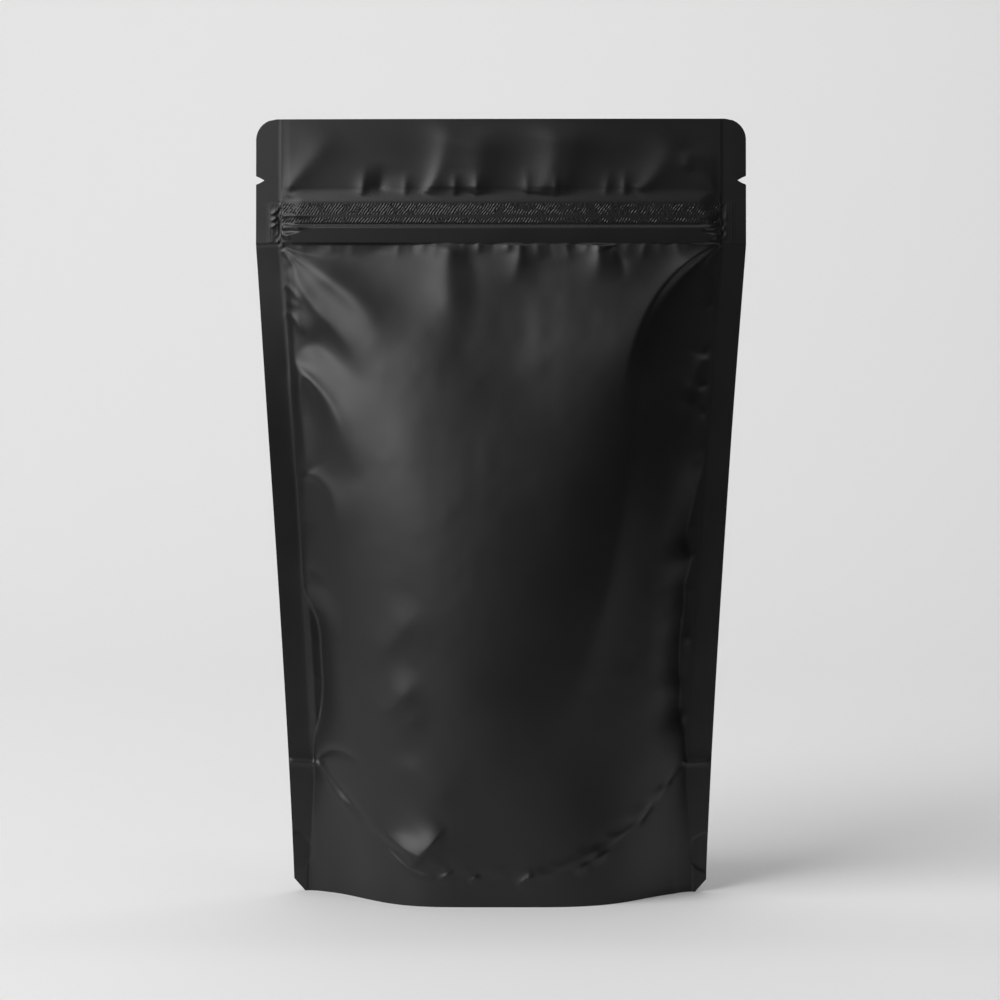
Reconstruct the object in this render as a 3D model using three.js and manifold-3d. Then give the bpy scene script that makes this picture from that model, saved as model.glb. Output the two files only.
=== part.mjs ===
// A filled stand-up pouch of matte black film, shut and standing on its gusset.
// Millimetres, +Z up. The front faces -Y, and the origin is on the floor under the pouch's middle.
import * as THREE from 'three';
import { mergeVertices } from 'three/addons/utils/BufferGeometryUtils.js';
import Module from 'manifold-3d';

// Outline of the flat film
const HEIGHT = 241;
const TOP_WIDTH = 152;
const BOTTOM_WIDTH = 128.8; // the filled belly pulls the side seals in by this much at the floor
const SHOULDER_HEIGHT = 202; // the sides run straight up from here, beside the zip
const SIDE_CURVE = 1.2;
const TOP_CORNER_RADIUS = 6.5;
const BOTTOM_CORNER_CUT = 3.9;
const BOTTOM_CUT_SLOPE = 0.85;

// Film and seals
const SEAL_THICKNESS = 0.6;
const SIDE_SEAL = 7.8;
const TOP_SEAL = 9.8;
const NOTCH_HEIGHT = 222;
const NOTCH_MOUTH = 2.5;
const NOTCH_DEPTH = 2.6;

// Zip: a plate of flange with one round ridge along its lower side
const ZIP_BOTTOM = 202.3;
const ZIP_TOP = 215.2;
const ZIP_PLATE = 1.2;
const ZIP_SHOULDER = 3.5; // the plate's upper side slopes into the header over this height
const ZIP_RIDGE_MIDDLE = 205.9;
const ZIP_RIDGE_HALF_WIDTH = 1.9;
const ZIP_RIDGE = 0.4;
const ZIP_SQUASHED_ENDS = 4;

// Belly: how far each face stands out from the flat seals. It is deeper in front than behind, so the
// place where both films meet is a little behind the middle.
const SET_BACK = 1.5;
const BELLY_DEPTH = 32;
const BELLY_LOW = 20; // deepest from here down
const BELLY_SQUARENESS = 2.7;
const BELLY_FULLNESS = 1.12;

// Header, from the zip up: both films are bowed forward, turned a little and lean back
const HEADER_DEPTH = 0.6;
const HEADER_BOW = 3;
const HEADER_TURN = 0.07;
const HEADER_LEAN = 0.1;

// Skirt and gusset
const RIM_DEPTH = 31;
const RIM_REACH = { left: 45, right: 47 }; // from the middle to where the rim curves in fastest
const RIM_SQUARENESS = 4.8;
const SKIRT_SEAL = 4; // the skirts are joined along the side only this far in at the floor
const SKIRT_PARTING = 7;
const GUSSET_SIDE_HEIGHT = 40.7;
const GUSSET_MIDDLE_HEIGHT = 8.3;
const GUSSET_CURVE = 2.35;
const GUSSET_FLOOR_GAP = 1.2;
const GUSSET_FLOOR_HALF_LENGTH = 25;
const ARC_STEP = 0.3;
const SKIRT_THICKNESS = 1.2;
const CORNER_SWAY = 2.6; // the lower right corner stands this far forward

// Folds of the film: a ridge, or a valley where the height is negative, from one (x, z) to the other
const FRONT_FOLDS = [
  // the fullest part of the belly leans to the right, with a hollow under the zip's middle
  { from: [55, 188], to: [40, 150], width: 15, height: 6.5 },
  { from: [40, 150], to: [16, 30], width: 20, height: 6 },
  { from: [-1, 200], to: [-6, 130], width: 14, height: -1.2 },
  // the left side: swollen below, hollow under the zip
  { from: [-60, 162], to: [10, 162], width: 20, height: 3.2 },
  { from: [-35, 160], to: [-30, 70], width: 18, height: 2.4 },
  { from: [-66, 209], to: [-16, 183], width: 10, height: -1.2 },
  // folds from the zip's left end and from the left seal
  { from: [-65, 203], to: [-41, 178], width: 5, height: 1.7 },
  { from: [-41, 178], to: [-38, 162], width: 6, height: 1.2 },
  { from: [-64, 195], to: [-41, 165], width: 4, height: 0.9 },
  { from: [-64, 169], to: [-40, 161], width: 5, height: -1.8 },
  { from: [-63, 166], to: [-50, 146], width: 4, height: 1.5 },
  { from: [-50, 146], to: [-44, 128], width: 5, height: 1.1 },
  { from: [-61, 131], to: [-49, 112], width: 4, height: 0.9 },
  { from: [-55, 92], to: [-54, 50], width: 3.5, height: -0.9 },
  { from: [-42, 54], to: [-26, 71], width: 4.5, height: 0.6 },
  // folds that hang from the zip
  { from: [-15.5, 203], to: [-20, 174], width: 6, height: 1.8 },
  { from: [6, 203], to: [3, 190], width: 3.5, height: 0.9 },
  { from: [30.5, 203], to: [29, 188], width: 4.5, height: 1.1 },
  { from: [34, 202], to: [38, 190], width: 3.5, height: -0.6 },
  // the fold from the zip's right end, and the hollows beside the right seal
  { from: [67, 202], to: [42, 175], width: 4.5, height: 1.8 },
  { from: [42, 175], to: [36, 148], width: 6, height: 1.4 },
  { from: [61, 160], to: [57, 145], width: 4, height: -0.7 },
  { from: [59, 140], to: [57, 106], width: 3.5, height: -1.0 },
  { from: [56, 102], to: [55, 48], width: 3.5, height: -1.0 },
  // the small pouch of film above the seal at the lower left
  { from: [-37, 16.5], to: [-21, 16], width: 4, height: 2.2 },
];
const BACK_FOLDS = [
  { from: [-66, 201], to: [-34, 166], width: 5.0, height: 1.7 },
  { from: [-61, 178], to: [-46, 150], width: 5.0, height: -1.5 },
  { from: [-24, 203], to: [-21, 186], width: 4.0, height: 1.2 },
  { from: [12, 203], to: [15, 184], width: 4.5, height: 1.4 },
  { from: [66, 202], to: [40, 168], width: 5.0, height: 1.7 },
  { from: [63, 172], to: [46, 146], width: 5.0, height: -1.5 },
  { from: [62, 160], to: [40, 140], width: 5.0, height: 1.2 },
  { from: [-59, 110], to: [-53, 52], width: 4.0, height: -1.3 },
  { from: [58, 96], to: [54, 50], width: 3.5, height: -1.2 },
  { from: [24, 62], to: [40, 46], width: 6.0, height: 0.9 },
];
const PUCKER_PITCH = 13; // short folds that run in from the side seals
const PUCKER_LENGTH = 11;
const PUCKER_WIDTH = 3;
const PUCKER_HEIGHT = 0.9;
// folds of both films together above the zip
const HEADER_FOLDS = [
  { from: [-68, 217], to: [-53, 236], width: 4, height: 0.8 },
  { from: [-37, 217], to: [-36, 228], width: 3.5, height: -0.6 },
  { from: [-22, 217], to: [-15, 238], width: 5, height: 1.0 },
  { from: [-6, 217], to: [-5, 238], width: 5, height: 0.8 },
  { from: [13, 217], to: [16, 238], width: 5, height: 1.0 },
  { from: [38, 217], to: [38.5, 226], width: 3.5, height: 0.5 },
  { from: [43, 218], to: [55, 237], width: 4.5, height: 0.8 },
];

// Fineness of the faceted faces
const BELLY_ROWS = 40;
const INNER_COLUMNS = 36;
const GUSSET_STEPS = 8;
const WALL_STEPS = 4;

const INNER_SEAL = SEAL_THICKNESS / 2;
const clamp = (value) => Math.min(Math.max(value, 0), 1);
const smooth = (value) => clamp(value) ** 2 * (3 - 2 * clamp(value));
const mix = (a, b, share) => a + (b - a) * share;

// Half of the width between the outer edges, before the corners are cut.
function straightHalfWidth(z) {
  const share = Math.min(z / SHOULDER_HEIGHT, 1) ** SIDE_CURVE;
  return mix(BOTTOM_WIDTH, TOP_WIDTH, share) / 2;
}

function halfWidth(z) {
  const aboveCorner = Math.max(z - (HEIGHT - TOP_CORNER_RADIUS), 0);
  const rounded = TOP_CORNER_RADIUS - Math.sqrt(TOP_CORNER_RADIUS ** 2 - aboveCorner ** 2);
  const cut = Math.max(BOTTOM_CORNER_CUT - z, 0) * BOTTOM_CUT_SLOPE;
  return straightHalfWidth(z) - rounded - cut;
}

// Where the side seal ends and the face begins to stand out.
function sealLine(z) {
  const seal = mix(SKIRT_SEAL, SIDE_SEAL, smooth(z / GUSSET_SIDE_HEIGHT));
  return straightHalfWidth(z) - seal;
}

// Height of the curved seal that joins a face to the gusset.
function gussetSeal(x) {
  const outward = Math.min(Math.abs(x) / sealLine(GUSSET_SIDE_HEIGHT), 1) ** GUSSET_CURVE;
  return mix(GUSSET_MIDDLE_HEIGHT, GUSSET_SIDE_HEIGHT, outward);
}

function bellyDepth(z) {
  const top = ZIP_BOTTOM + 2;
  const up = clamp((z - BELLY_LOW) / (top - BELLY_LOW));
  return BELLY_DEPTH * (1 - up ** BELLY_SQUARENESS) ** BELLY_FULLNESS;
}

// A circular arc from one side seal to the other.
function bellyArc(x, z) {
  const half = sealLine(z);
  const depth = bellyDepth(z);
  if (Math.abs(x) >= half || depth < 0.01) return 0;
  const radius = (half ** 2 + depth ** 2) / (2 * depth);
  return Math.sqrt(radius ** 2 - x ** 2) - (radius - depth);
}

// How far the skirt stands out along the floor.
function rimCurve(x) {
  const outward = Math.abs(x) / (x < 0 ? RIM_REACH.left : RIM_REACH.right);
  const parted = smooth((sealLine(0) - Math.abs(x)) / SKIRT_PARTING);
  return RIM_DEPTH * Math.exp(-(outward ** RIM_SQUARENESS)) * parted;
}

function belly(x, z) {
  const overSkirt = smooth(z / (GUSSET_SIDE_HEIGHT * 1.2));
  const step = ARC_STEP * smooth((z - gussetSeal(x)) / 3) * smooth((sealLine(z) - Math.abs(x)) / 6);
  return mix(rimCurve(x), bellyArc(x, z), overSkirt) + step;
}

function zipRelief(x, z) {
  const plate = smooth((z - ZIP_BOTTOM) / 0.8) * smooth((ZIP_TOP + ZIP_SHOULDER - z) / (ZIP_SHOULDER + 0.8));
  const across = clamp(Math.abs(z - ZIP_RIDGE_MIDDLE) / ZIP_RIDGE_HALF_WIDTH);
  const ridge = ZIP_RIDGE * Math.sqrt(1 - across ** 2);
  const ends = smooth((sealLine(z) - Math.abs(x)) / ZIP_SQUASHED_ENDS);
  return (ZIP_PLATE * plate + ridge) * mix(0.3, 1, ends);
}

// Height of one fold at (x, z). It fades towards both of its ends.
function foldHeight(fold, x, z) {
  const [alongX, alongZ] = [fold.to[0] - fold.from[0], fold.to[1] - fold.from[1]];
  const length = Math.hypot(alongX, alongZ);
  const along = ((x - fold.from[0]) * alongX + (z - fold.from[1]) * alongZ) / length ** 2;
  const aside = ((x - fold.from[0]) * alongZ - (z - fold.from[1]) * alongX) / length;
  const fade = smooth((along + 0.2) / 0.4) * smooth((1.2 - along) / 0.5);
  return fold.height * fade * Math.exp(-((aside / fold.width) ** 2));
}

// Short folds that run in and slightly down from both side seals, strong and weak in turn.
function puckers(first) {
  const folds = [];
  for (let z = first, i = 0; z < ZIP_BOTTOM - 8; z += PUCKER_PITCH, i += 1) {
    for (const side of [-1, 1]) {
      const start = side * sealLine(z);
      const height = PUCKER_HEIGHT * (i % 2 === 0 ? 1 : -0.7);
      const to = [start - side * PUCKER_LENGTH, z - 4 + side * 2];
      folds.push({ from: [start, z], to, width: PUCKER_WIDTH, height });
    }
  }
  return folds;
}

const sumOfFolds = (folds, x, z) => folds.reduce((sum, fold) => sum + foldHeight(fold, x, z), 0);

// Distance of one face from the place where both films meet.
function face(folds, x, z) {
  const inside = sealLine(z) - Math.abs(x);
  if (inside <= 0 || z >= HEIGHT - TOP_SEAL) return INNER_SEAL;
  if (z > ZIP_BOTTOM) {
    const open = smooth((z - ZIP_TOP) / 3) * smooth((HEIGHT - TOP_SEAL - z) / 3) * smooth(inside / 6);
    return INNER_SEAL + HEADER_DEPTH * open + zipRelief(x, z);
  }
  const free = smooth(inside / 3) * smooth((ZIP_BOTTOM - z) / 2) * smooth((z - gussetSeal(x)) / 5);
  return INNER_SEAL + Math.max(belly(x, z) + sumOfFolds(folds, x, z) * free, 0);
}

const frontFolds = [...FRONT_FOLDS, ...puckers(52)];
const backFolds = [...BACK_FOLDS, ...puckers(58)];
const front = (x, z) => face(frontFolds, x, z);
const back = (x, z) => face(backFolds, x, z);

// Where both films meet: bowed, turned and leaning back at the header, forward at the lower right corner.
function middle(x, z) {
  const up = smooth((z - 140) / 70);
  const bow = HEADER_BOW * up * (1 - ((2 * x) / TOP_WIDTH) ** 2);
  const lean = HEADER_LEAN * Math.max(z - ZIP_BOTTOM, 0);
  const free = smooth((z - ZIP_TOP) / 2) * smooth((sealLine(z) - Math.abs(x)) / 3);
  const sway = CORNER_SWAY * smooth((x - 26) / 36) * clamp(1 - z / 90) ** 2;
  return SET_BACK + lean - bow - HEADER_TURN * up * x - sway - free * sumOfFolds(HEADER_FOLDS, x, z);
}

function rowHeights() {
  const rows = [0, 1.6, BOTTOM_CORNER_CUT];
  const last = ZIP_BOTTOM - 3;
  for (let i = 1; i <= BELLY_ROWS; i += 1) rows.push(mix(BOTTOM_CORNER_CUT, last, i / BELLY_ROWS));
  rows.push(ZIP_BOTTOM - 1, ZIP_BOTTOM + 0.05, ZIP_BOTTOM + 0.8);
  for (const across of [-0.98, -0.6, 0, 0.6, 0.98]) rows.push(ZIP_RIDGE_MIDDLE + across * ZIP_RIDGE_HALF_WIDTH);
  rows.push(ZIP_TOP - 0.8, ZIP_TOP + 0.05);
  const sealBottom = HEIGHT - TOP_SEAL;
  for (const share of [0.2, 0.45, 0.7, 0.88, 1]) rows.push(mix(ZIP_TOP, sealBottom, share));
  for (const share of [0, 0.4, 0.7, 0.9, 1]) {
    rows.push(HEIGHT - TOP_CORNER_RADIUS * (1 - share));
  }
  return rows;
}

// Places of the columns from the left edge to the right, as a function of the height.
function columnPlaces(z) {
  const half = halfWidth(z);
  const inner = Math.min(sealLine(z), half - 1.5);
  const places = [];
  for (let i = 0; i <= INNER_COLUMNS; i += 1) {
    const share = (2 * i) / INNER_COLUMNS - 1;
    places.push(inner * share * (1.25 - 0.25 * share ** 2));
  }
  return [-half, -(half + inner) / 2, ...places, (half + inner) / 2, half];
}

// Triangles that fill a ring whose second half runs back opposite its first half.
function stripCap(count) {
  const triangles = [];
  for (let near = 0, far = count - 1; near + 1 < far; near += 1, far -= 1) {
    triangles.push([near, far, far - 1], [near, far - 1, near + 1]);
  }
  return triangles;
}

// Triangles that fill a ring which can all be seen from its first point.
function fanCap(count) {
  return Array.from({ length: count - 2 }, (_, i) => [0, i + 2, i + 1]);
}

// A closed body from rings of points: each ring joins the next, and the first and last are capped.
function loft(rings, cap) {
  const count = rings[0].length;
  const index = [];
  for (let i = 0; i + 1 < rings.length; i += 1) {
    for (let j = 0; j < count; j += 1) {
      const [a, b] = [i * count + j, i * count + ((j + 1) % count)];
      index.push(a, b, b + count, a, b + count, a + count);
    }
  }
  const last = (rings.length - 1) * count;
  for (const [a, b, c] of cap(count)) index.push(a, b, c, last + a, last + c, last + b);
  const geometry = new THREE.BufferGeometry();
  geometry.setAttribute('position', new THREE.Float32BufferAttribute(rings.flat(2), 3));
  geometry.setIndex(index);
  return geometry;
}

// One ring for each row: along the front from left to right, and back along the rear face.
function bodyGeometry() {
  const rings = rowHeights().map((z) => {
    const places = columnPlaces(z);
    const near = places.map((x) => [x, middle(x, z) - front(x, z), z]);
    const far = places.map((x) => [x, middle(x, z) + back(x, z), z]);
    return [...near, ...far.reverse()];
  });
  return loft(rings, stripCap);
}

// Height of the gusset's fold, which lies on the floor and rises to the side seals.
function gussetFold(x) {
  const reach = sealLine(GUSSET_SIDE_HEIGHT) - GUSSET_FLOOR_HALF_LENGTH;
  const outward = clamp((Math.abs(x) - GUSSET_FLOOR_HALF_LENGTH) / reach);
  return mix(GUSSET_FLOOR_GAP, GUSSET_SIDE_HEIGHT, outward ** 1.5);
}

// The space under the gusset: one ring for each place across. It starts at the middle of the open floor,
// climbs the rear skirt, crosses the gusset and comes down the front skirt.
function hollowGeometry() {
  const below = -1;
  const skirtGap = (x) => Math.min(front(x, 0), back(x, 0)) - SKIRT_THICKNESS;
  const columns = columnPlaces(0);
  const between = columns.slice(1).map((x, i) => (columns[i] + x) / 2);
  const places = between.filter((x) => skirtGap(x) > 0.4);
  const rings = places.map((x) => {
    const seal = gussetSeal(x);
    const levels = Array.from({ length: WALL_STEPS + 1 }, (_, i) => (seal * i) / WALL_STEPS);
    const wall = (side, z) => middle(x, z) + side * ((side < 0 ? front : back)(x, z) - SKIRT_THICKNESS);
    const near = levels.map((z) => [x, wall(-1, z), z]);
    const far = levels.map((z) => [x, wall(1, z), z]);
    const roof = [];
    for (let i = 1; i < GUSSET_STEPS; i += 1) {
      const across = (2 * i) / GUSSET_STEPS - 1;
      const y = mix(wall(-1, seal), wall(1, seal), i / GUSSET_STEPS);
      roof.push([x, y, mix(gussetFold(x), seal, across ** 2)]);
    }
    const floor = [[x, middle(x, 0), below], [x, wall(1, 0), below]];
    return [...floor, ...far, ...roof.reverse(), ...near.reverse(), [x, wall(-1, 0), below]];
  });
  return loft(rings, fanCap);
}

// A pointed notch that opens at the side edge, cut right through the film.
function notchGeometry(side) {
  const edge = side * halfWidth(NOTCH_HEIGHT);
  const outside = edge + side;
  const tip = edge - side * NOTCH_DEPTH;
  const shape = new THREE.Shape();
  shape.moveTo(outside, NOTCH_HEIGHT - NOTCH_MOUTH / 2);
  shape.lineTo(edge, NOTCH_HEIGHT - NOTCH_MOUTH / 2);
  shape.quadraticCurveTo(tip + side * 0.8, NOTCH_HEIGHT - NOTCH_MOUTH / 2, tip, NOTCH_HEIGHT);
  shape.quadraticCurveTo(tip + side * 0.8, NOTCH_HEIGHT + NOTCH_MOUTH / 2, edge, NOTCH_HEIGHT + NOTCH_MOUTH / 2);
  shape.lineTo(outside, NOTCH_HEIGHT + NOTCH_MOUTH / 2);
  const geometry = new THREE.ExtrudeGeometry(shape, { depth: 6, bevelEnabled: false, curveSegments: 5 });
  return geometry.translate(0, 0, -3).rotateX(Math.PI / 2).translate(0, middle(edge, NOTCH_HEIGHT), 0);
}

const wasm = await Module();
wasm.setup();

function solid(geometry) {
  geometry.deleteAttribute('normal');
  geometry.deleteAttribute('uv');
  const merged = mergeVertices(geometry, 1e-4);
  return new wasm.Manifold(new wasm.Mesh({
    numProp: 3,
    vertProperties: merged.attributes.position.array,
    triVerts: new Uint32Array(merged.index.array),
  }));
}

function pouchGeometry() {
  const cut = solid(bodyGeometry())
    .subtract(solid(hollowGeometry()))
    .subtract(solid(notchGeometry(-1)))
    .subtract(solid(notchGeometry(1)));
  const mesh = cut.getMesh();
  const geometry = new THREE.BufferGeometry();
  geometry.setAttribute('position', new THREE.BufferAttribute(mesh.vertProperties, 3));
  geometry.setIndex(new THREE.BufferAttribute(mesh.triVerts, 1));
  geometry.computeVertexNormals();
  return geometry;
}

const film = new THREE.MeshStandardMaterial({ color: 0x161617, roughness: 0.5, metalness: 0 });
const pouch = new THREE.Mesh(pouchGeometry(), film);
pouch.name = 'pouch';

const part = new THREE.Group();
part.add(pouch);

export default part;
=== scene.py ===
# A filled stand-up pouch of matte black film, photographed on a pale seamless sweep.
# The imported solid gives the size; the film's fine relief, folds and zip are built here as one mesh.
import math

import bpy
import numpy as np
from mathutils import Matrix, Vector


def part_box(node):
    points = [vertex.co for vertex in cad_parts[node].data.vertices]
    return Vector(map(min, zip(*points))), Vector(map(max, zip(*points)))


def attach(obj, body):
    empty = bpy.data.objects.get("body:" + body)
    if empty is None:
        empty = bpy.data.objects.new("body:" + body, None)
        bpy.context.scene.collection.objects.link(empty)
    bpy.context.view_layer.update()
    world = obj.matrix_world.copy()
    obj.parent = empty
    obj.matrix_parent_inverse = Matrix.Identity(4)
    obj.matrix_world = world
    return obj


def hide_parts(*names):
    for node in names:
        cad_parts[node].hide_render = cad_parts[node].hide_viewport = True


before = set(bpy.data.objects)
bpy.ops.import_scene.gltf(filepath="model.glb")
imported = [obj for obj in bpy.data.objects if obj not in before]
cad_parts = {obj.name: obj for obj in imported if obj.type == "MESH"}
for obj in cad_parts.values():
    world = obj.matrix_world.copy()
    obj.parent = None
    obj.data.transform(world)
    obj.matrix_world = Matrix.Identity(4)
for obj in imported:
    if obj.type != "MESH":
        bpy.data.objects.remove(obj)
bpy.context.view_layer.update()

MM = 0.001

# ---------------------------------------------------------------- sizes, in millimetres
low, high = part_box("pouch")
HEIGHT = (high[2] - low[2]) / MM
TOP_WIDTH = (high[0] - low[0]) / MM
BOTTOM_WIDTH = 128.8
SHOULDER_HEIGHT = 202.0
SIDE_CURVE = 1.2
TOP_CORNER_RADIUS = 6.5
BOTTOM_CORNER_CUT = 3.9
BOTTOM_CUT_SLOPE = 0.85

# Seals and notches
SEAL_HALF = 0.2
DEEPEST_LINE = -0.15
LAYER = 0.2
SIDE_SEAL = 7.8
SKIRT_SEAL = 4.0
SKIRT_PARTING = 7.0
TOP_SEAL = 9.8
NOTCH_HEIGHT = 222.0
NOTCH_MOUTH = 2.5
NOTCH_DEPTH = 2.6
TACK_HEIGHT = 12.4
TACK_RADIUS = 6.2
TACK_TILT = 0.1

# The press-to-close zip
ZIP_BOTTOM = 202.3
ZIP_TOP = 215.2
ZIP_PLATE = 1.2
ZIP_SHOULDER = 4.5
RIDGE_TOP = 208.2
RIDGE = 0.3
ZIP_ENDS = 5.0
ZIP_CRUSHED = 4.6
RIB_PITCH = 0.8
KNURL_PITCH = 0.74
STROKE_LENGTH = 1.5
KNURL_STRIPS = [(211.4, 214.9, 0.2), (208.8, 210.5, 0.22)]

# The filled belly: where both films meet, and how far the film lies flat beside the side seals
SET_BACK = 1.5
LEFT_PINCH = 4.6
RIGHT_PINCH = 3.4
PINCH_REACH = 15.0
BELLY_DEPTH = 32.0
BELLY_LOW = 20.0
BELLY_SQUARENESS = 2.7
BELLY_FULLNESS = 1.02
HEADER_DEPTH = 0.3
HEADER_BOW = 3.0
HEADER_TURN = 0.07
HEADER_LEAN = 0.1

# The skirt and the gusset
RIM_DEPTH = 31.0
RIM_REACH_LEFT = 45.0
RIM_REACH_RIGHT = 47.0
RIM_SQUARENESS = 4.8
GUSSET_SIDE_HEIGHT = 40.7
GUSSET_MIDDLE_HEIGHT = 8.3
GUSSET_CURVE = 2.35
GUSSET_FLOOR_GAP = 1.2
GUSSET_FLOOR_HALF_LENGTH = 25.0
ARC_STEP = 0.12
SKIRT_THICKNESS = 0.5
CORNER_SWAY = 2.6


# ---------------------------------------------------------------- small mathematics
def clamp(value):
    return np.clip(value, 0.0, 1.0)


def smooth(value):
    t = clamp(value)
    return t * t * (3 - 2 * t)


def mix(a, b, share):
    return a + (b - a) * share


def never_below(value, softness):
    """The value where it is above zero, and softly nearing zero where it would fall below."""
    return (value + np.sqrt(value**2 + softness**2)) / 2


def beside_path(points, x, z):
    """How far each place lies beside a soft path through the points, and at which share of its length."""
    given = np.array(points, float)
    chord = given[-1] - given[0]
    length = math.hypot(*chord)
    ahead = chord / length
    along = (given - given[0]) @ ahead
    offset = (given - given[0]) @ [ahead[1], -ahead[0]]
    path = np.polynomial.Polynomial.fit(along, offset, min(len(given) - 1, 4))
    u = (x - given[0][0]) * ahead[0] + (z - given[0][1]) * ahead[1]
    v = (x - given[0][0]) * ahead[1] - (z - given[0][1]) * ahead[0]
    held = np.clip(u, 0, length)
    aside = (v - path(held)) / np.sqrt(1 + path.deriv()(held) ** 2)
    return aside, u / length


def noise(x, z, seed):
    """Soft noise between about -1 and 1, one bump for each unit. The last number is its seed."""
    table = np.random.default_rng(seed).uniform(-1, 1, (64, 64))
    ix, iz = np.floor(x).astype(int), np.floor(z).astype(int)
    tx, tz = smooth(x - ix), smooth(z - iz)
    at = lambda a, b: table[a % 64, b % 64]
    return mix(mix(at(ix, iz), at(ix + 1, iz), tx), mix(at(ix, iz + 1), at(ix + 1, iz + 1), tx), tz)


# ---------------------------------------------------------------- outline and large form
def straight_half_width(z):
    share = np.minimum(z / SHOULDER_HEIGHT, 1.0) ** SIDE_CURVE
    return mix(BOTTOM_WIDTH, TOP_WIDTH, share) / 2


def notch(z):
    """Depth of the tear notch in the side edge."""
    across = clamp(np.abs(z - NOTCH_HEIGHT) / (NOTCH_MOUTH / 2))
    return NOTCH_DEPTH * (1 - across) ** 0.75


def half_width(z):
    above = np.maximum(z - (HEIGHT - TOP_CORNER_RADIUS), 0)
    rounded = TOP_CORNER_RADIUS - np.sqrt(np.maximum(TOP_CORNER_RADIUS**2 - above**2, 0))
    cut = np.maximum(BOTTOM_CORNER_CUT - z, 0) * BOTTOM_CUT_SLOPE
    return straight_half_width(z) - rounded - cut - notch(z)


def seal_line(z):
    seal = mix(SKIRT_SEAL, SIDE_SEAL, smooth(z / GUSSET_SIDE_HEIGHT))
    return straight_half_width(z) - seal


def gusset_seal(x):
    """Height of the curved seal that joins the gusset to the faces."""
    outward = np.minimum(np.abs(x) / seal_line(GUSSET_SIDE_HEIGHT), 1) ** GUSSET_CURVE
    return mix(GUSSET_MIDDLE_HEIGHT, GUSSET_SIDE_HEIGHT, outward)


def belly_depth(z):
    up = clamp((z - BELLY_LOW) / (ZIP_BOTTOM + 2 - BELLY_LOW))
    return BELLY_DEPTH * (1 - up**BELLY_SQUARENESS) ** BELLY_FULLNESS


def belly_arc(x, z):
    """The filled face: an arc from seal to seal, flat for some millimetres beside each seal."""
    half = seal_line(z)
    left = LEFT_PINCH * smooth((z - 42) / 24) * smooth((97 - z) / 16)
    right = RIGHT_PINCH * smooth((z - 40) / 26) * smooth((138 - z) / 24)
    right = right * (1 + 0.35 * noise(z / 8, 0 * z, 5))
    pushed = np.where(x < 0, left, right) * smooth((np.abs(x) - half + PINCH_REACH) / (PINCH_REACH - 2))
    x = np.abs(x) + pushed
    depth = np.maximum(belly_depth(z), 0.01)
    radius = (half**2 + depth**2) / (2 * depth)
    inside = np.sqrt(np.maximum(radius**2 - x**2, 0)) - (radius - depth)
    return np.where(np.abs(x) < half, inside, 0)


def rim_curve(x):
    """The rim at the floor, seen from above: full in the middle and S-shaped towards the side seals."""
    outward = np.abs(x) / np.where(x < 0, RIM_REACH_LEFT, RIM_REACH_RIGHT)
    parted = smooth((seal_line(0.0) - np.abs(x)) / SKIRT_PARTING)
    return RIM_DEPTH * np.exp(-(outward**RIM_SQUARENESS)) * parted


def belly(x, z):
    """The skirt's curve at the floor, which turns into the filled face, with a small step at the seal."""
    over_skirt = smooth(z / (GUSSET_SIDE_HEIGHT * 1.2))
    above = z - gusset_seal(x)
    uneven = 1 + 0.9 * noise(x / 5, z / 5, 4) * smooth((12 - above) / 10)
    step = ARC_STEP * uneven * smooth(above / 1.5) * smooth((seal_line(z) - np.abs(x)) / 6)
    return mix(rim_curve(x), belly_arc(x, z), over_skirt) + step


# ---------------------------------------------------------------- folds
def crease(path, width, height, crisp=0.4, lean=0.0, rise=0.12, fall=0.4):
    """A raised fold (or a sunk one, where height is negative) along a path.

    width: from start to end; crisp: how rounded the crest is, as a share of the width;
    lean: how much broader the right flank is; rise, fall: shares of the length that fade."""
    return dict(path=path, width=width, height=height, crisp=crisp, lean=lean, rise=rise, fall=fall)


def crease_height(fold, x, z):
    reach = max(fold["width"]) * math.sqrt((fold["crisp"] + 7) ** 2 - fold["crisp"] ** 2)
    path = np.array(fold["path"], float)
    near = ((x > path[:, 0].min() - reach) & (x < path[:, 0].max() + reach)
            & (z > path[:, 1].min() - reach) & (z < path[:, 1].max() + reach))
    out = np.zeros(x.shape)
    aside, share = beside_path(fold["path"], x[near], z[near])
    width = mix(*fold["width"], clamp(share))
    width = width * (1 + fold["lean"] * np.tanh(2 * aside / width))
    fade = smooth(share / fold["rise"]) * smooth((1 - share) / fold["fall"])
    crest = np.exp(fold["crisp"] - np.sqrt((aside / width) ** 2 + fold["crisp"] ** 2))
    out[near] = fold["height"] * fade * crest
    return out


def creases_height(folds, x, z):
    return sum(crease_height(fold, x, z) for fold in folds)


def bulge(place, radii, height, turn=0.0):
    """A soft raised place (or a hollow, where height is negative), turned by degrees."""
    return dict(place=place, radii=radii, height=height, turn=math.radians(turn))


def bulge_height(form, x, z):
    dx, dz = x - form["place"][0], z - form["place"][1]
    along = dx * math.cos(form["turn"]) + dz * math.sin(form["turn"])
    across = dz * math.cos(form["turn"]) - dx * math.sin(form["turn"])
    return form["height"] * np.exp(-((along / form["radii"][0]) ** 2) - (across / form["radii"][1]) ** 2)


def bulges_height(forms, x, z):
    return sum(bulge_height(form, x, z) for form in forms)


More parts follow.
